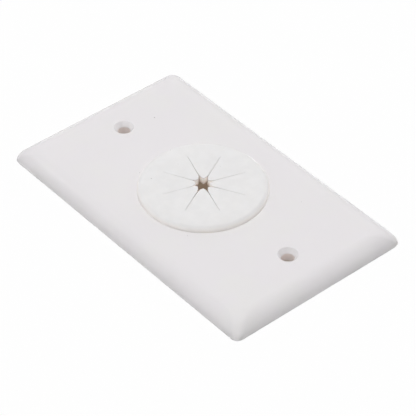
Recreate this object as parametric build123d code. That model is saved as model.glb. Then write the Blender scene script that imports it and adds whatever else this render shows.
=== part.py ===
from build123d import *
import os
from math import atan, cos, pi, sin, tan

# Single-gang grommet wall plate: a hard moulded plate and a soft split grommet pushed into its middle hole.
# Millimetres. The plate lies face up with its back rim on z = 0. +Z points out of the wall, +Y runs along
# the long side and +X along the short side. The origin is the middle of the back rim's plane.

# Driving dimensions of the plate
PLATE_WIDTH = 69.85          # 2 3/4 in, the standard single-gang width
PLATE_LENGTH = 114.3         # 4 1/2 in, the standard single-gang length
PLATE_DEPTH = 5.6            # from the wall to the flat of the face
EDGE_LAND = 0.4              # short upright band round the foot of the edge
EDGE_INSET = 5.7             # how far the edge's quarter ellipse reaches in over the face
CORNER_RADIUS_FOOT = 2.6     # corner of the plan outline at the wall
CORNER_RADIUS_LAND = 1.5     # and at the top of the land, where it is sharpest
CORNER_RADIUS_FACE = 4.5     # the corners grow rounder from there up to the face
FACE_THICKNESS = 2.3
RIM_WALL = 2.0
HOLLOW_CORNER_RADIUS = 1.5
HOLLOW_CHAMFER = 1.3         # where the rim wall meets the back of the face

# Driving dimensions of the screw holes
SCREW_SPACING = 83.34        # 3.281 in, the standard single-gang spacing
SCREW_HOLE_DIAMETER = 4.4
COUNTERSINK_DIAMETER = 6.75
COUNTERSINK_DEPTH = 1.65     # a seat for an oval-head screw
COUNTERSINK_BREAK = 0.1      # broken edge where the seat meets the face
BOSS_DIAMETER = 9.6
BOSS_STANDOFF = 0.9          # the bosses stop short of the wall

# Driving dimensions of the stiffening on the back
RIB_THICKNESS = 1.2
RIB_STANDOFF = 1.5
COLLAR_INNER_DIAMETER = 42.6
COLLAR_WALL = 1.4
COLLAR_STANDOFF = 1.0
EJECTOR_DIAMETER = 3.6       # shallow round witness marks that the mould's ejector pins leave
EJECTOR_DEPTH = 0.15
EJECTOR_X = 27.0
EJECTOR_Y = (14.0, 50.0)

# Driving dimensions of the grommet
GROMMET_HOLE_DIAMETER = 38.0
NECK_CLEARANCE = 0.1         # between the neck and the hole, on the radius
FLANGE_DIAMETER = 43.7
FLANGE_THICKNESS = 2.0       # at the start of the rise
FLANGE_ROUND = 1.7           # rounded top edge
FLANGE_UNDERCUT = 0.3        # the flange's foot turns in here, above the face
FLANGE_UNDERCUT_HEIGHT = 0.15
MIDDLE_RISE = 0.3            # from the start of the flange's round up to the flat middle
CROWN_DIAMETER = 30.8        # the flat middle, which falls away in a very shallow cone
LIP_DIAMETER = 40.8          # the lip behind the face that keeps the grommet in
LIP_DEPTH = 1.7
LIP_LAND = 0.55              # upright part of the lip, before its taper
LIP_TAPER = 0.9              # lead-in taper, on the radius
RECESS_DIAMETER = 32.0       # the hollow behind the split disc
RECESS_CHAMFER = 0.6
DISC_UNDERSIDE = 5.45        # height of the split disc's underside

# Driving dimensions of the split disc
PETALS = 8
FIRST_SLIT_ANGLE = 26.4      # degrees from +X
SLIT_REACH = 14.6            # the slits end at this radius
SLIT_WIDTH_ROOT = 0.45
SLIT_WIDTH_END = 0.12
PETAL_TIP_RADIUS = 2.45      # the petals end at this distance from the middle

# Worked out from the above
EDGE_HEIGHT = PLATE_DEPTH - EDGE_LAND
HOLLOW_ROOF = PLATE_DEPTH - FACE_THICKNESS
FLANGE_TOP = PLATE_DEPTH + FLANGE_THICKNESS
LIP_BOTTOM = HOLLOW_ROOF - LIP_DEPTH

# How the shapes are made
EDGE_SECTIONS = 9            # steps of the loft up the edge's quarter ellipse
STANDING = (Align.CENTER, Align.CENTER, Align.MIN)
SINK = 0.3                   # how far an added rib or boss runs into the face, so that they fuse
CUTTER_LENGTH = 20.0         # passes right through either moulding
PETAL_OVERRUN = 3.0          # how far a petal's plan runs on past the slits' reach


def outline_at(inset, corner_radius, height):
    """Rounded rectangle of the plan outline, set in from the wall outline, at a height."""
    outline = RectangleRounded(PLATE_WIDTH - 2 * inset, PLATE_LENGTH - 2 * inset, corner_radius)
    return Pos(0, 0, height) * outline


def plate_blank():
    """Solid plate: its edge is a quarter ellipse above a short land, lofted through plan outlines."""
    foot = loft([outline_at(0, CORNER_RADIUS_FOOT, 0), outline_at(0, CORNER_RADIUS_LAND, EDGE_LAND)])
    sections = []
    for i in range(EDGE_SECTIONS + 1):
        share = i / EDGE_SECTIONS
        turn = share * pi / 2
        inset = EDGE_INSET * (1 - cos(turn))
        height = EDGE_LAND + EDGE_HEIGHT * sin(turn)
        corner = CORNER_RADIUS_LAND + (CORNER_RADIUS_FACE - CORNER_RADIUS_LAND) * share
        sections.append(outline_at(inset, corner, height))
    return foot + loft(sections)


def hollow():
    """Space behind the face, inside the rim wall, with a chamfer where the wall meets the face."""
    width = PLATE_WIDTH - 2 * RIM_WALL
    length = PLATE_LENGTH - 2 * RIM_WALL
    space = extrude(RectangleRounded(width, length, HOLLOW_CORNER_RADIUS), HOLLOW_ROOF)
    return chamfer(space.faces().sort_by(Axis.Z)[-1].edges(), HOLLOW_CHAMFER)


def back_post(diameter, standoff):
    """Round post on the back of the face that stops short of the wall by its standoff."""
    return Pos(0, 0, standoff) * Cylinder(diameter / 2, HOLLOW_ROOF + SINK - standoff, align=STANDING)


def back_rib(length_x, length_y):
    """Straight rib on the back of the face, centred on the origin."""
    height = HOLLOW_ROOF + SINK - RIB_STANDOFF
    return Pos(0, 0, RIB_STANDOFF) * Box(length_x, length_y, height, align=STANDING)


def screw_cutter():
    """Through hole with a conical seat whose rim lies on the face."""
    shank = Cylinder(SCREW_HOLE_DIAMETER / 2, CUTTER_LENGTH)
    seat = Cone(SCREW_HOLE_DIAMETER / 2, COUNTERSINK_DIAMETER / 2, COUNTERSINK_DEPTH, align=STANDING)
    return shank + Pos(0, 0, PLATE_DEPTH - COUNTERSINK_DEPTH) * seat


def countersink_rims(plate):
    """The two circular edges where the seats meet the face."""
    on_face = plate.edges().filter_by(GeomType.CIRCLE).filter_by_position(Axis.Z, PLATE_DEPTH, PLATE_DEPTH)
    return [edge for edge in on_face if edge.radius < COUNTERSINK_DIAMETER]


def wall_plate():
    """The hard moulding: hollow plate, bosses, collar, ribs, screw holes and the grommet's hole."""
    plate = plate_blank() - hollow()
    inner_width = PLATE_WIDTH - 2 * RIM_WALL + SINK
    inner_length = PLATE_LENGTH - 2 * RIM_WALL + SINK
    plate += back_rib(RIB_THICKNESS, inner_length)
    for side in (-1, 1):
        plate += Pos(0, side * SCREW_SPACING / 2, 0) * back_rib(inner_width, RIB_THICKNESS)
        plate += Pos(0, side * SCREW_SPACING / 2, 0) * back_post(BOSS_DIAMETER, BOSS_STANDOFF)
    plate += back_rib(inner_width, RIB_THICKNESS)
    plate += back_post(COLLAR_INNER_DIAMETER + 2 * COLLAR_WALL, COLLAR_STANDOFF)
    plate -= Cylinder(COLLAR_INNER_DIAMETER / 2, HOLLOW_ROOF, align=STANDING)
    plate -= Cylinder(GROMMET_HOLE_DIAMETER / 2, CUTTER_LENGTH)
    for side in (-1, 1):
        plate -= Pos(0, side * SCREW_SPACING / 2, 0) * screw_cutter()
        for y in EJECTOR_Y:
            for x in (-EJECTOR_X, EJECTOR_X):
                plate -= Pos(x, side * y, HOLLOW_ROOF) * Cylinder(EJECTOR_DIAMETER / 2, 2 * EJECTOR_DEPTH)
    return chamfer(countersink_rims(plate), COUNTERSINK_BREAK)


def grommet_body():
    """Turned form of the grommet: crowned flange, neck, tapered lip, and the recess behind the disc."""
    flange = FLANGE_DIAMETER / 2
    neck = GROMMET_HOLE_DIAMETER / 2 - NECK_CLEARANCE
    lip = LIP_DIAMETER / 2
    recess = RECESS_DIAMETER / 2
    crown = CROWN_DIAMETER / 2
    rise_start = flange - FLANGE_ROUND
    with BuildPart() as body:
        with BuildSketch(Plane.XZ):
            with BuildLine():
                RadiusArc((rise_start, FLANGE_TOP), (flange, FLANGE_TOP - FLANGE_ROUND), FLANGE_ROUND)
                Polyline(
                    (flange, FLANGE_TOP - FLANGE_ROUND),
                    (flange, PLATE_DEPTH + FLANGE_UNDERCUT_HEIGHT),
                    (flange - FLANGE_UNDERCUT, PLATE_DEPTH),
                    (neck, PLATE_DEPTH),
                    (neck, HOLLOW_ROOF),
                    (lip, HOLLOW_ROOF),
                    (lip, HOLLOW_ROOF - LIP_LAND),
                    (lip - LIP_TAPER, LIP_BOTTOM),
                    (recess, LIP_BOTTOM),
                    (recess, DISC_UNDERSIDE - RECESS_CHAMFER),
                    (recess - RECESS_CHAMFER, DISC_UNDERSIDE),
                    (0, DISC_UNDERSIDE),
                    (0, FLANGE_TOP + MIDDLE_RISE),
                    (crown, FLANGE_TOP + MIDDLE_RISE),
                    (rise_start, FLANGE_TOP))
            make_face()
        revolve(axis=Axis.Z)
    return body.part


def petal_outline():
    """Plan of one petal about +X: two straight slit edges and a full-round tip tangent to both."""
    taper = atan((SLIT_WIDTH_ROOT - SLIT_WIDTH_END) / 2 / SLIT_REACH)
    half_angle = pi / PETALS + taper
    hub_gap = SLIT_WIDTH_ROOT / 2 * cos(taper)
    centre = (PETAL_TIP_RADIUS - hub_gap) / (1 - sin(half_angle))
    tip_round = centre - PETAL_TIP_RADIUS
    apex = hub_gap / sin(half_angle)
    touch_x = centre - tip_round * sin(half_angle)
    touch_y = tip_round * cos(half_angle)
    far_x = SLIT_REACH + PETAL_OVERRUN
    far_y = (far_x - apex) * tan(half_angle)
    with BuildSketch() as petal:
        with BuildLine():
            ThreePointArc((touch_x, -touch_y), (PETAL_TIP_RADIUS, 0), (touch_x, touch_y))
            Polyline((touch_x, touch_y), (far_x, far_y), (far_x, -far_y), (touch_x, -touch_y))
        make_face()
    return petal.sketch


def slit_cutter():
    """The star opening and its slits, as a prism: a circle of the slits' reach less the petals."""
    star = Circle(SLIT_REACH)
    for i in range(PETALS):
        star -= Rot(0, 0, FIRST_SLIT_ANGLE + (i + 0.5) * 360 / PETALS) * petal_outline()
    return Pos(0, 0, LIP_BOTTOM) * extrude(star, CUTTER_LENGTH)


def grommet():
    """The soft moulding with its split disc."""
    return grommet_body() - slit_cutter()


def main():
    """Writes one file for each piece and prints the sizes that follow from the driving dimensions."""
    os.makedirs("parts", exist_ok=True)
    for name, solid in (("wall_plate", wall_plate()), ("grommet", grommet())):
        export_step(solid, "parts/" + name + ".step")
        box = solid.bounding_box()
        print(name, "volume", round(solid.volume, 1), "box", box.min, box.max, "solids", len(solid.solids()))


main()
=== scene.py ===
"""Dressing of a single-gang grommet wall plate: finish of the hard plate, and the soft grommet as a mesh.

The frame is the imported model's: metres, back rim on z = 0, +Z out of the wall, +Y along the long side.
Shapes are worked out here in millimetres, and become metres in their meshes and materials.
"""
import math

import bmesh
import bpy
import numpy as np
from mathutils import Matrix, Vector


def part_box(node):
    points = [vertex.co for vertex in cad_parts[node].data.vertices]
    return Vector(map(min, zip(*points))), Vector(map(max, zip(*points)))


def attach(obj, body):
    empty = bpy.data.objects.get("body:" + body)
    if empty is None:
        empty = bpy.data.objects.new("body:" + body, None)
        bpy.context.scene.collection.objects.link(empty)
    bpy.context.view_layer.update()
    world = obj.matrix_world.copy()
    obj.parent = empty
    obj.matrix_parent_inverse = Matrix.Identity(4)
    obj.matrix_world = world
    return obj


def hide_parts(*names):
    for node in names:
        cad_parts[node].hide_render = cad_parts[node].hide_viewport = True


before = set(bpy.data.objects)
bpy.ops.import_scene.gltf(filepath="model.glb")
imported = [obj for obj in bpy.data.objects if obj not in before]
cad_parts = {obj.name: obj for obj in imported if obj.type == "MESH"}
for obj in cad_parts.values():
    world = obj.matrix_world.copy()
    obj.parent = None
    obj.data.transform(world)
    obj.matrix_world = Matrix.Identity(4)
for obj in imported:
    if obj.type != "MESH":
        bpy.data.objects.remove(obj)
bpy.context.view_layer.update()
MM = 0.001

# The plate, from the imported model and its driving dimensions
PLATE_HALF_WIDTH, PLATE_HALF_LENGTH, PLATE_DEPTH = (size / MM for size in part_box("wall_plate")[1])
FACE_THICKNESS = 2.3
HOLLOW_ROOF = PLATE_DEPTH - FACE_THICKNESS
SCREW_SPACING = 83.34
SCREW_HOLE_RADIUS = 2.2
SEAT_RADIUS = 3.4
SEAT_BOTTOM = 3.95

# The grommet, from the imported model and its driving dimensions
FLANGE_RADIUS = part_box("grommet")[1][0] / MM
LIP_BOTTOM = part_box("grommet")[0][2] / MM
FLANGE_THICKNESS = 2.0
FLANGE_ROUND = 1.7
FLANGE_UNDERCUT = 0.12
MIDDLE_RISE = 0.3
CROWN_START = 15.4
NECK_RADIUS = 18.9
NECK_ROUND = 0.1
LIP_RADIUS = 20.4
LIP_LAND = 0.55
LIP_TAPER = 0.9
LIP_TOP_ROUND = 0.2
LIP_EDGE_ROUND = 0.4
LIP_FOOT_ROUND = 0.3
RECESS_RADIUS = 16.0
RECESS_ROUND = 0.6
DISC_UNDERSIDE = 5.45
SEAT_GAP = 0.01
FLANGE_TOP = PLATE_DEPTH + FLANGE_THICKNESS
EDGE_START = FLANGE_RADIUS - FLANGE_ROUND
CROWN_TILT = math.atan(2 * MIDDLE_RISE / (EDGE_START - CROWN_START))

# The split disc. Each slit has its direction in degrees from +X, how far to its left it passes the middle,
# its width at the reference radius, and the power of the radius by which it narrows outwards.
SLITS = ((26.3, 0.05, 0.18, 1.0), (71.2, -0.12, 0.23, 1.1), (116.5, 0.0, 0.1, 0.9), (161.8, 0.05, 0.16, 1.2),
         (206.2, 0.0, 0.3, 1.6), (251.6, -0.08, 0.26, 1.7), (298.2, -0.35, 0.27, 1.3), (341.4, 0.0, 0.1, 1.0))
REFERENCE_RADIUS = 5.0
SLIT_REACH = 14.6
SLIT_END_LENGTH = 0.3
PETAL_EDGE_ROUND = 0.05
TIP_LENGTH = 1.9

# Each petal follows the slit of the same place. Its tip ends this far from the middle, and has sprung up by
# this much.
PETAL_TIPS = ((2.45, 0.06), (2.6, 0.1), (2.45, 0.0), (2.35, 0.03),
              (2.4, -0.05), (2.45, 0.0), (2.15, -0.06), (2.3, 0.03))
USUAL_TIP_RADIUS = 2.45

# How finely the surfaces are drawn: steps across a petal, points along each other stretch, and within how
# many metres points are merged
STATIONS_ACROSS = 24
STATIONS_ALONG = 30
STATIONS_TIP = 14
STATIONS_ROUND = 5
STATIONS_CORNER = 6
STATIONS_CROWN = 10
STATIONS_EDGE = 18
MERGE_DISTANCE = 2e-6

# Dust on the face and on the grommet: x, y and radius. A speck fades out between these shares of its radius.
SPECKS = ((11.2, 39.0, 0.17), (-11.4, 12.9, 0.12), (-10.9, 19.8, 0.1), (2.9, 20.3, 0.09), (9.9, 2.9, 0.08),
          (20.2, -25.7, 0.08), (0.0, 12.8, 0.08), (-18.7, -14.3, 0.08))
SPECK_FADE_START = 0.6
SPECK_FADE_END = 1.2

# Where one colour turns into the next. On the plate: how far from a screw hole's axis its bore and its seat
# end, up to what height the seat and the bore get their painted shade and painted glow, and between what
# heights the bore's painted glow grows lighter.
BORE_SIDE = (SCREW_HOLE_RADIUS + 0.05, SCREW_HOLE_RADIUS + 0.3)
SEAT_SIDE = (SEAT_RADIUS, SEAT_RADIUS + 0.1)
SEAT_TOP = (PLATE_DEPTH - 0.3, PLATE_DEPTH - 0.05)
BORE_TOP = (SEAT_BOTTOM - 0.5, SEAT_BOTTOM + 0.1)
BORE_HEIGHTS = (0, SEAT_BOTTOM)

# On the grommet: up to what height and how far from the middle the cuts get their warm painted shade and
# painted glow, how far the tips' painted glow reaches and between what heights it grows lighter, where the
# rim starts and ends, and up to what height its painted glow reaches.
CUT_TOP = (FLANGE_TOP - 0.1, FLANGE_TOP + MIDDLE_RISE - PETAL_EDGE_ROUND)
CUT_END = (SLIT_REACH + 0.2, SLIT_REACH + 0.5)
TIPS_END = (3.0, 4.5)
TIP_HEIGHTS = (DISC_UNDERSIDE, FLANGE_TOP)
RIM_SIDE = (EDGE_START, FLANGE_RADIUS)
RIM_PAINTED_GLOW_TOP = (PLATE_DEPTH + 0.8, FLANGE_TOP + 0.1)

# Noise levels between which the plate's clouding and the rubber's mottling turn from one tone to the other
PLATE_CLOUDING = (0.4, 0.7)
RUBBER_MOTTLING = (0.35, 0.65)

# Roughness where the skin is lowest, how much the skin adds, and the skin's share in the plate's bump
PLATE_ROUGHNESS = 0.2
PLATE_ROUGHNESS_RANGE = 0.08
PLATE_SKIN_SHARE = 0.3
RUBBER_ROUGHNESS = 0.5
RUBBER_ROUGHNESS_RANGE = 0.12

# How far light spreads inside both materials, and the shares of that for red, green and blue
SCATTER_REACH = 1.5
SCATTER_SHARES = (1.0, 0.95, 0.9)

# The lamps: azimuth from +X and elevation above the floor in degrees, power in watts, width and height in
# metres. Their distance and the width from which a lamp is kept out of reflections are in metres too.
LAMPS = {
    "overhead": (0, 90, 10.45, 0.6, 0.6),
    "low_right": (0, 22, 3.3, 0.6, 0.6),
    "low_back_right": (45, 22, 0.6, 0.6, 0.6),
    "low_back": (90, 22, 2.9, 1.2, 0.7),
    "low_left": (180, 22, 2.85, 0.6, 0.6),
    "low_front": (270, 22, 1.5, 0.6, 0.6),
    "small_left": (118.4, 41.9, 0.42, 0.18, 0.1),
    "tall_front": (230, 38, 0.27, 0.03, 1.2),
}
LAMP_DISTANCE = 1.2
WIDEST_REFLECTED_LAMP = 0.2

# How bright the surroundings are as a light, and in the picture and in reflections
WORLD_LIGHT = 0.02
WORLD_REFLECTED = 0.75

# The floor: half its side in metres, its drop below the back rim, how bright it is to the camera and in
# reflections, and how far inside the plate's outline the painted warm glow under the plate starts
FLOOR_HALF = 3.0
FLOOR_DROP = 0.05
FLOOR_GLOW = 0.93
FLOOR_REFLECTED = 0.78
UNDER_PLATE_INSET = 1.6

# The photograph's camera: its turn as a vector whose length is the angle, and its shift in millimetres. The
# near limit of its view is in metres.
PICTURE_PIXELS = 416
FOCAL_PIXELS = 2126.8
SENSOR_WIDTH = 36
CAMERA_TURN = (2.17968, -0.7995, 0.36326)
CAMERA_SHIFT = (-1.597, -2.196, 702.68)
NEAR_LIMIT = 0.01


def linear(red, green, blue):
    """A colour as a screen shows it, 0 to 255, in the linear values that a shader takes.

    By the sRGB curve, a share up to 0.04045 is divided by 12.92, and above that it becomes
    ((share + 0.055) / 1.055)^2.4.
    """
    share = np.array([red, green, blue]) / 255
    return (*np.where(share <= 0.04045, share / 12.92, ((share + 0.055) / 1.055) ** 2.4), 1.0)


# Colours
PLATE_COOL = linear(231, 228, 230)
PLATE_WARM = linear(231, 229, 229)
# Painted light in the screw holes: a warm painted shade on the bores' walls, and painted glows in the bores
# and the seats
BORE_PAINTED_WARM_SHADE = linear(228, 219, 215)
BORE_PAINTED_GLOW = linear(98, 92, 90)
SEAT_PAINTED_GLOW = linear(42, 44, 40)
RUBBER_DULL = linear(231, 230, 230)
RUBBER_CLEAN = linear(234, 233, 233)
# Painted light on the grommet: a painted glow low on the rim, a warm painted shade and a painted glow in the
# cuts, and a painted glow on the tips' walls that is lighter high up
RIM_PAINTED_GLOW = linear(95, 87, 79)
CUT_PAINTED_WARM_SHADE = linear(227, 221, 218)
CUT_PAINTED_GLOW = linear(48, 42, 38)
TIP_LOW_PAINTED_GLOW = linear(110, 100, 90)
TIP_HIGH_PAINTED_GLOW = linear(152, 148, 143)
# Painted warm glow on the floor under the plate, seen through the star and the screw holes
UNDER_PLATE_PAINTED_GLOW = linear(98, 79, 60)
DUST = linear(96, 88, 80)
FLOOR_PALE = linear(245, 245, 245)
BLACK = (0, 0, 0, 1)
WHITE = (1, 1, 1, 1)


# Surfaces of the grommet

def height_of_top(radius):
    """Top of the grommet: flat in the middle, then a parabola down to the start of the flange's rounded edge.

    Height = flange top + rise * (1 - share^2), where the share goes from 0 at the crown's start to 1 at its
    end.
    """
    share = np.clip((radius - CROWN_START) / (EDGE_START - CROWN_START), 0, 1)
    return FLANGE_TOP + MIDDLE_RISE * (1 - share ** 2)


def height_of_underside(radius):
    """Underside of the split disc: the same height at every radius."""
    return np.full_like(radius, DISC_UNDERSIDE)


def sprung(radius, spring):
    """Lift of a petal whose tip has sprung up: the tip's lift * share^2.

    The share goes from 0 at the slits' end to 1 at the radius where most tips end.
    """
    share = np.clip((SLIT_REACH - radius) / (SLIT_REACH - USUAL_TIP_RADIUS), 0, 1)
    return spring * share ** 2


def rounded_corners(corners):
    """Polyline through (r, z, round) corners, each corner an arc tangent to its two straight runs.

    The arc's centre lies on the corner's bisector at round / sin(half angle), and its ends lie at
    round / tan(half angle) from the corner. Its points are spread evenly by angle: the sum of the start times
    sin((1 - share) * sweep) and the end times sin(share * sweep), over sin(sweep). A round of 0 keeps the
    corner sharp.
    """
    path = []
    for i, (r, z, size) in enumerate(corners):
        corner = np.array([r, z])
        if size == 0:
            path.append(corner[None])
            continue
        before = np.array(corners[i - 1][:2]) - corner
        after = np.array(corners[i + 1][:2]) - corner
        before /= np.linalg.norm(before)
        after /= np.linalg.norm(after)
        half = math.acos(np.clip(before @ after, -1, 1)) / 2
        centre = corner + (before + after) / np.linalg.norm(before + after) * size / math.sin(half)
        start = corner + before * size / math.tan(half) - centre
        end = corner + after * size / math.tan(half) - centre
        sweep = math.acos(np.clip(start @ end / size ** 2, -1, 1))
        share = np.linspace(0, 1, STATIONS_CORNER)[:, None]
        arc = (np.sin((1 - share) * sweep) * start + np.sin(share * sweep) * end) / math.sin(sweep)
        path.append(centre + arc)
    return np.concatenate(path)


def turned_profile():
    """Half section of the grommet outside the slits, as (r, z): crown, rounded edge, neck, lip and recess.

    The edge is an arc that leaves the crown at the crown's own tilt and ends upright at the flange's radius,
    so the arc's radius is the edge's width / (1 - sin(tilt)).
    """
    crown_radius = np.concatenate([[SLIT_REACH], np.linspace(CROWN_START, EDGE_START, STATIONS_CROWN)])
    crown = np.column_stack([crown_radius, height_of_top(crown_radius)])
    turn = np.linspace(CROWN_TILT, math.pi / 2, STATIONS_EDGE)[1:]
    size = FLANGE_ROUND / (1 - math.sin(CROWN_TILT))
    edge = np.column_stack([
        EDGE_START + size * (np.sin(turn) - math.sin(CROWN_TILT)),
        FLANGE_TOP - size * (math.cos(CROWN_TILT) - np.cos(turn))])
    seat = PLATE_DEPTH + SEAT_GAP
    rest = rounded_corners((
        (FLANGE_RADIUS - FLANGE_UNDERCUT, seat, 0),
        (NECK_RADIUS, seat, NECK_ROUND),
        (NECK_RADIUS, HOLLOW_ROOF, NECK_ROUND),
        (LIP_RADIUS, HOLLOW_ROOF, LIP_TOP_ROUND),
        (LIP_RADIUS, HOLLOW_ROOF - LIP_LAND, LIP_EDGE_ROUND),
        (LIP_RADIUS - LIP_TAPER, LIP_BOTTOM, LIP_FOOT_ROUND),
        (RECESS_RADIUS, LIP_BOTTOM, LIP_FOOT_ROUND),
        (RECESS_RADIUS, DISC_UNDERSIDE, RECESS_ROUND),
        (SLIT_REACH, DISC_UNDERSIDE, 0)))
    return np.concatenate([crown, edge, rest])


def slit_middle(slit, radius):
    """Angle of a slit's middle line at a radius: its direction plus asin(sideways offset / radius)."""
    direction, offset = slit[:2]
    return math.radians(direction) + np.arcsin(offset / radius)


def slit_gap(slit, radius, inset):
    """Angle from a slit's middle line to its side, set back by the inset.

    Angle = asin((half width + inset) / radius), and half width = half the slit's own width *
    (reference radius / radius)^power. Over the slit's last stretch the angle falls to 0 by a quarter ellipse,
    so that neighbours meet there.
    """
    width, narrowing = slit[2:]
    past = np.clip((radius - SLIT_REACH + SLIT_END_LENGTH) / SLIT_END_LENGTH, 0, 1)
    half_width = width / 2 * (REFERENCE_RADIUS / radius) ** narrowing
    return np.arcsin((half_width + inset) / radius) * np.sqrt(1 - past ** 2)


def petal_sides(first, second, tip_radius, inset):
    """Radii from the slits' end in to the tip, and the angles of the petal's two edges at each radius.

    Near the tip both edges close on the petal's middle by a quarter ellipse, so the tip is round: half angle
    * sqrt(1 - (1 - share)^2), where the share goes from 0 at the tip to 1 at the tip's length.
    """
    tip_start = tip_radius + inset
    tip_end = tip_start + TIP_LENGTH
    end_turn = np.linspace(math.pi / 2, 0, STATIONS_ROUND)
    tip_turn = np.linspace(math.pi / 2, 0, STATIONS_TIP)[1:]
    radius = np.concatenate([
        SLIT_REACH - SLIT_END_LENGTH * (1 - np.sin(end_turn)),
        np.linspace(SLIT_REACH - SLIT_END_LENGTH, tip_end, STATIONS_ALONG)[1:],
        tip_end - TIP_LENGTH * np.cos(tip_turn)])
    low = slit_middle(first, radius) + slit_gap(first, radius, inset)
    high = slit_middle(second, radius) - slit_gap(second, radius, inset)
    short = np.clip((tip_end - radius) / TIP_LENGTH, 0, 1)
    middle, half = (low + high) / 2, (high - low) / 2 * np.sqrt(1 - short ** 2)
    return radius, middle - half, middle + half


def polar(radius, turn, z):
    """Points of a grid from polar coordinates and heights: radius * cos(turn), radius * sin(turn), z."""
    radius, turn, z = np.broadcast_arrays(radius, turn, z)
    return np.stack([radius * np.cos(turn), radius * np.sin(turn), z], axis=-1)


def petal_sheet(first, second, tip, height):
    """Top or underside of a petal: arcs of constant radius, each from edge to edge in equal angles."""
    tip_radius, spring = tip
    radius, low, high = petal_sides(first, second, tip_radius, PETAL_EDGE_ROUND)
    share = np.linspace(0, 1, STATIONS_ACROSS + 1)
    turn = low[:, None] + (high - low)[:, None] * share
    return polar(radius[:, None], turn, (height(radius) + sprung(radius, spring))[:, None])


def petal_wall(first, second, tip):
    """Cut wall of a petal: its plan edge carried from top to underside, with a small quarter round at both.

    With turn t of each quarter: inset = round * (1 - cos t) and drop = round * (1 - sin t).
    """
    tip_radius, spring = tip
    turns = np.linspace(math.pi / 2, 0, STATIONS_ROUND)
    insets = PETAL_EDGE_ROUND * (1 - np.cos(turns))
    drops = PETAL_EDGE_ROUND * (1 - np.sin(turns))
    upper, lower = [], []
    for inset, drop in zip(insets, drops):
        radius, low, high = petal_sides(first, second, tip_radius, inset)
        radius = np.concatenate([radius, radius[-2::-1]])
        turn = np.concatenate([low, high[-2::-1]])
        lift = sprung(radius, spring)
        upper.append(polar(radius, turn, height_of_top(radius) - drop + lift))
        lower.append(polar(radius, turn, height_of_underside(radius) + drop + lift))
    return np.stack(upper + lower[::-1])


def turned_sector(first, second):
    """The grommet's turned form from one slit's direction to the next: the profile swept round the axis."""
    profile = turned_profile()
    turn = np.linspace(slit_middle(first, SLIT_REACH), slit_middle(second, SLIT_REACH), STATIONS_ACROSS + 1)
    return polar(profile[:, 0, None], turn, profile[:, 1, None])


# Meshes

def mesh_of(name, grids):
    """One closed mesh from grids of points in millimetres: a quad for each cell, seams and poles merged."""
    points, quads, start = [], [], 0
    for grid in grids:
        rows, columns = grid.shape[:2]
        index = start + np.arange(rows * columns).reshape(rows, columns)
        cells = np.stack([index[:-1, :-1], index[1:, :-1], index[1:, 1:], index[:-1, 1:]], axis=-1)
        points.append(grid.reshape(-1, 3) * MM)
        quads.append(cells.reshape(-1, 4))
        start += rows * columns
    mesh = bpy.data.meshes.new(name)
    mesh.from_pydata(np.concatenate(points), [], np.concatenate(quads))
    work = bmesh.new()
    work.from_mesh(mesh)
    bmesh.ops.remove_doubles(work, verts=work.verts, dist=MERGE_DISTANCE)
    bmesh.ops.dissolve_degenerate(work, edges=work.edges, dist=MERGE_DISTANCE)
    bmesh.ops.recalc_face_normals(work, faces=work.faces)
    print(name, "faces", len(work.faces), "open edges", sum(not edge.is_manifold for edge in work.edges),
          "volume in mm3", work.calc_volume() / MM ** 3)
    work.to_mesh(mesh)
    work.free()
    mesh.shade_smooth()
    piece = bpy.data.objects.new(name, mesh)
    bpy.context.scene.collection.objects.link(piece)
    return piece


def soft_grommet():
    """The grommet as one closed mesh: eight sectors of its turned form, each with its petal.

    The last sector ends at the first slit, a full turn further on.
    """
    grids = []
    neighbours = SLITS[1:] + ((SLITS[0][0] + 360, *SLITS[0][1:]),)
    for first, second, tip in zip(SLITS, neighbours, PETAL_TIPS):
        grids.append(turned_sector(first, second))
        grids.append(petal_sheet(first, second, tip, height_of_top))
        grids.append(petal_sheet(first, second, tip, height_of_underside))
        grids.append(petal_wall(first, second, tip))
    return mesh_of("soft_grommet", grids)


# Materials

# A Mix node's own numbers for its two colours and for the colour that comes out
MIX_FIRST = 6
MIX_SECOND = 7
MIX_RESULT = 2


class Value:
    """What comes out of a node, on its way through a tree. Sums written on it add Math nodes, for numbers."""

    def __init__(self, graph, socket):
        self.graph = graph
        self.socket = socket

    def maths(self, operation, *terms):
        """A Math node of that operation on the terms."""
        return self.graph.node("ShaderNodeMath", {"operation": operation}, dict(enumerate(terms)))

    def __add__(self, other):
        return self.maths("ADD", self, other)

    __radd__ = __add__

    def __mul__(self, other):
        return self.maths("MULTIPLY", self, other)

    __rmul__ = __mul__

    def __sub__(self, other):
        return self.maths("SUBTRACT", self, other)

    def __rsub__(self, other):
        return self.maths("SUBTRACT", other, self)

    def __pow__(self, other):
        return self.maths("POWER", self, other)

    def __abs__(self):
        return self.maths("ABSOLUTE", self)

    def or_more(self, other):
        """The larger of two numbers."""
        return self.maths("MAXIMUM", self, other)

    def rise(self, low, high):
        """0 below low and 1 above high, with a smooth step between."""
        inputs = {"Value": self, "From Min": low, "From Max": high}
        return self.graph.node("ShaderNodeMapRange", {"interpolation_type": "SMOOTHSTEP"}, inputs)

    def beyond(self, start, end):
        """The same for a length or height in metres, between a start and an end in millimetres."""
        return self.rise(start * MM, end * MM)


class Graph:
    """A tree of nodes, and one method that adds any node to it."""

    def __init__(self, tree):
        self.tree = tree

    def node(self, kind, settings, inputs, output=0):
        """A node of that kind: its settings come first, and then its sockets get their values or links."""
        made = self.tree.nodes.new(kind)
        for name, value in settings.items():
            setattr(made, name, value)
        for name, value in inputs.items():
            self.feed(made.inputs[name], value)
        return Value(self, made.outputs[output])

    def feed(self, socket, value):
        """A socket's link or fixed value."""
        if isinstance(value, Value):
            self.tree.links.new(value.socket, socket)
        else:
            socket.default_value = value

    def ray(self, kind):
        """1 for a ray of that kind, and 0 for others."""
        return self.node("ShaderNodeLightPath", {}, {}, "Is " + kind + " Ray")


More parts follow.
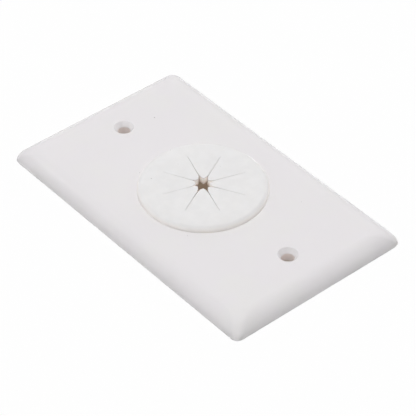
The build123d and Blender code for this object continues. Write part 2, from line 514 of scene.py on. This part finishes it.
class Finish(Graph):
    """One material: its Principled shader and the point's place in metres."""

    def __init__(self, name):
        self.material = bpy.data.materials.new(name)
        self.material.use_nodes = True
        super().__init__(self.material.node_tree)
        self.shader = self.tree.nodes["Principled BSDF"]
        self.place = self.node("ShaderNodeTexCoord", {}, {}, "Object")
        split = self.node("ShaderNodeSeparateXYZ", {}, {"Vector": self.place})
        self.x, self.y, self.z = (Value(self, socket) for socket in split.socket.node.outputs)

    def shade(self, **sockets):
        """The shader's own sockets, each named with _ for a space."""
        for name, value in sockets.items():
            self.feed(self.shader.inputs[name.replace("_", " ")], value)

    def noise(self, size, detail, seed):
        """Noise about 0.5 whose blotches are about that many millimetres across."""
        inputs = {"Vector": self.place, "W": seed, "Scale": 1 / (size * MM), "Detail": detail}
        return self.node("ShaderNodeTexNoise", {"noise_dimensions": "4D"}, inputs)

    def blend(self, share, first, second):
        """The first colour at share 0, turning into the second at 1."""
        inputs = {"Factor": share, MIX_FIRST: first, MIX_SECOND: second}
        return self.node("ShaderNodeMix", {"data_type": "RGBA"}, inputs, MIX_RESULT)

    def bump(self, height, depth):
        """A normal from a height of 0 to 1 that stands for that many millimetres."""
        return self.node("ShaderNodeBump", {}, {"Height": height, "Distance": depth * MM, "Strength": 1.0})

    def distance_from(self, x, y):
        """Distance in the plate's plane from a place in millimetres, in metres: sqrt(x^2 + y^2)."""
        return ((self.x - x * MM) ** 2 + (self.y - y * MM) ** 2) ** 0.5

    def dusty(self, colour):
        """That colour with the specks of dust on it, which fade out below the plate's face."""
        dust = 0
        for x, y, radius in SPECKS:
            outside = self.distance_from(x, y).beyond(SPECK_FADE_START * radius, SPECK_FADE_END * radius)
            dust = dust + (1 - outside)
        return self.blend(dust * self.z.beyond(HOLLOW_ROOF, PLATE_DEPTH), colour, DUST)


def plate_plastic():
    """Satin moulded plastic: faintly clouded, a fine skin on a long ripple, and a warm painted shade and a
    painted glow on the walls of its bores.

    Distance from the nearer screw hole's axis = sqrt(x^2 + (|y| - half the spacing)^2).
    """
    finish = Finish("plate_plastic")
    cloud = finish.noise(size=14, detail=2, seed=1.0)
    skin = finish.noise(size=0.6, detail=2, seed=2.0)
    ripple = finish.noise(size=11, detail=1, seed=3.0)
    from_axis = (finish.x ** 2 + (abs(finish.y) - SCREW_SPACING / 2 * MM) ** 2) ** 0.5
    in_bore = 1 - from_axis.beyond(*BORE_SIDE)
    in_seat = 1 - from_axis.beyond(*SEAT_SIDE)
    below_face = 1 - finish.z.beyond(*SEAT_TOP)
    # Painted light: the bores' walls get a warm painted shade and a painted glow that grows lighter upwards,
    # and the seats a faint painted glow
    painted_bore = in_bore * (1 - finish.z.beyond(*BORE_TOP))
    tone = finish.blend(cloud.rise(*PLATE_CLOUDING), PLATE_COOL, PLATE_WARM)
    painted_bore_glow = finish.blend(finish.z.beyond(*BORE_HEIGHTS), BLACK, BORE_PAINTED_GLOW)
    finish.shade(
        Base_Color=finish.dusty(finish.blend(painted_bore, tone, BORE_PAINTED_WARM_SHADE)),
        Emission_Color=finish.blend(painted_bore, finish.blend(in_seat * below_face, BLACK, SEAT_PAINTED_GLOW), painted_bore_glow),
        Emission_Strength=1.0,
        Roughness=PLATE_ROUGHNESS + PLATE_ROUGHNESS_RANGE * skin,
        Normal=finish.bump(PLATE_SKIN_SHARE * skin + ripple, depth=0.004),
        IOR=1.49,
        Subsurface_Weight=0.15,
        Subsurface_Scale=SCATTER_REACH * MM,
        Subsurface_Radius=SCATTER_SHARES)
    return finish.material


def grommet_rubber():
    """Dull white rubber that passes light: faintly mottled, with a warm painted shade and a painted glow in
    its cuts, and a painted glow low on its rim.
    """
    finish = Finish("grommet_rubber")
    cloud = finish.noise(size=4, detail=3, seed=4.0)
    skin = finish.noise(size=0.45, detail=2, seed=5.0)
    from_middle = finish.distance_from(0, 0)
    # Painted light: the cuts get a warm painted shade and a painted glow, the tips' walls a painted glow that
    # grows lighter upwards, and the rim a painted glow low down
    below_top = 1 - finish.z.beyond(*CUT_TOP)
    cut = below_top * (1 - from_middle.beyond(*CUT_END))
    painted_tip_glow = finish.blend(finish.z.beyond(*TIP_HEIGHTS), TIP_LOW_PAINTED_GLOW, TIP_HIGH_PAINTED_GLOW)
    painted_cut_glow = finish.blend(from_middle.beyond(*TIPS_END), painted_tip_glow, CUT_PAINTED_GLOW)
    rim = from_middle.beyond(*RIM_SIDE)
    low = 1 - finish.z.beyond(*RIM_PAINTED_GLOW_TOP)
    tone = finish.blend(cloud.rise(*RUBBER_MOTTLING), RUBBER_DULL, RUBBER_CLEAN)
    finish.shade(
        Base_Color=finish.dusty(finish.blend(cut, tone, CUT_PAINTED_WARM_SHADE)),
        Emission_Color=finish.blend(cut, finish.blend(rim * low, BLACK, RIM_PAINTED_GLOW), painted_cut_glow),
        Emission_Strength=1.0,
        Roughness=RUBBER_ROUGHNESS + RUBBER_ROUGHNESS_RANGE * skin,
        Normal=finish.bump(skin, depth=0.006),
        IOR=1.43,
        Subsurface_Weight=0.3,
        Subsurface_Scale=SCATTER_REACH * MM,
        Subsurface_Radius=SCATTER_SHARES)
    return finish.material


def floor_white():
    """Pale floor, all but white to the camera and less bright in reflections, that keeps a faint shadow.

    Where it glows, its own colour turns black, so that the lamps add little to it. Under the plate its upper
    side has a painted warm glow, which stands in for the light that comes through the plate and the rubber. A
    point lies past the plate's outline by the larger of |x| - half width and |y| - half length.
    """
    finish = Finish("floor_white")
    past_outline = (abs(finish.x) - PLATE_HALF_WIDTH * MM).or_more(abs(finish.y) - PLATE_HALF_LENGTH * MM)
    outside = past_outline.beyond(-UNDER_PLATE_INSET, -UNDER_PLATE_INSET / 2)
    outside = outside.or_more(finish.node("ShaderNodeNewGeometry", {}, {}, "Backfacing"))
    seen = finish.ray("Camera").or_more(finish.ray("Transmission"))
    reflected = finish.ray("Glossy")
    glow = (FLOOR_GLOW * seen).or_more(FLOOR_REFLECTED * reflected) * outside
    blackened = (FLOOR_GLOW * seen).or_more(reflected) * outside
    # Painted warm glow under the plate, for camera rays and reflections
    under = seen.or_more(reflected) * (1 - outside)
    finish.shade(
        Base_Color=finish.blend(blackened, FLOOR_PALE, BLACK),
        Emission_Color=finish.blend(glow, finish.blend(under, BLACK, UNDER_PLATE_PAINTED_GLOW), WHITE),
        Emission_Strength=1.0,
        Roughness=1.0,
        Specular_IOR_Level=0.0)
    return finish.material


def dress(piece, material):
    """Gives a piece that one material."""
    piece.data.materials.clear()
    piece.data.materials.append(material)


# Stage

def floor():
    """A large flat floor just under the back rim."""
    mesh = bpy.data.meshes.new("floor")
    sides = ((-1, -1), (1, -1), (1, 1), (-1, 1))
    corners = [(x * FLOOR_HALF, y * FLOOR_HALF, -FLOOR_DROP * MM) for x, y in sides]
    mesh.from_pydata(corners, [], [(0, 1, 2, 3)])
    plane = bpy.data.objects.new("floor", mesh)
    dress(plane, floor_white())
    bpy.context.scene.collection.objects.link(plane)


def softbox(name, azimuth, elevation, power, width, height):
    """A rectangular lamp that faces the object from a direction. Only a narrow one shows as a glint on it."""
    light = bpy.data.lights.new(name, "AREA")
    light.shape = "RECTANGLE"
    light.size = width
    light.size_y = height
    light.energy = power
    lamp = bpy.data.objects.new(name, light)
    turn, rise = math.radians(azimuth), math.radians(elevation)
    direction = Vector((math.cos(rise) * math.cos(turn), math.cos(rise) * math.sin(turn), math.sin(rise)))
    lamp.location = direction * LAMP_DISTANCE
    lamp.rotation_euler = direction.to_track_quat("Z", "Y").to_euler()
    lamp.visible_glossy = width < WIDEST_REFLECTED_LAMP
    bpy.context.scene.collection.objects.link(lamp)


def studio():
    """Soft lamps all round at a plain level, and surroundings that light dimly but reflect as pale."""
    world = bpy.data.worlds.new("surroundings")
    world.use_nodes = True
    graph = Graph(world.node_tree)
    seen = graph.ray("Camera").or_more(graph.ray("Glossy"))
    background = graph.tree.nodes["Background"]
    graph.feed(background.inputs["Color"], WHITE)
    graph.feed(background.inputs["Strength"], WORLD_LIGHT + (WORLD_REFLECTED - WORLD_LIGHT) * seen)
    bpy.context.scene.world = world
    for name, lamp in LAMPS.items():
        softbox(name, *lamp)
    bpy.context.scene.view_settings.view_transform = "Standard"


def camera():
    """The photograph's camera. It stands at minus the shift, turned back by the camera's turn.

    The rows of that turn point to the right in the picture, down in it, and away from the camera.
    """
    turn = Vector(CAMERA_TURN)
    view = Matrix.Rotation(turn.length, 3, turn)
    lens = bpy.data.cameras.new("camera")
    lens.sensor_width = SENSOR_WIDTH
    lens.lens = FOCAL_PIXELS / PICTURE_PIXELS * SENSOR_WIDTH
    lens.clip_start = NEAR_LIMIT
    body = bpy.data.objects.new("camera", lens)
    place = -(view.transposed() @ Vector(CAMERA_SHIFT)) * MM
    axes = Matrix((view[0], -view[1], -view[2])).transposed()
    body.matrix_world = Matrix.Translation(place) @ axes.to_4x4()
    bpy.context.scene.collection.objects.link(body)
    bpy.context.scene.camera = body


# Assembly

dress(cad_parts["wall_plate"], plate_plastic())
grommet = soft_grommet()
dress(grommet, grommet_rubber())
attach(grommet, "root")
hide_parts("grommet")
floor()
studio()
camera()
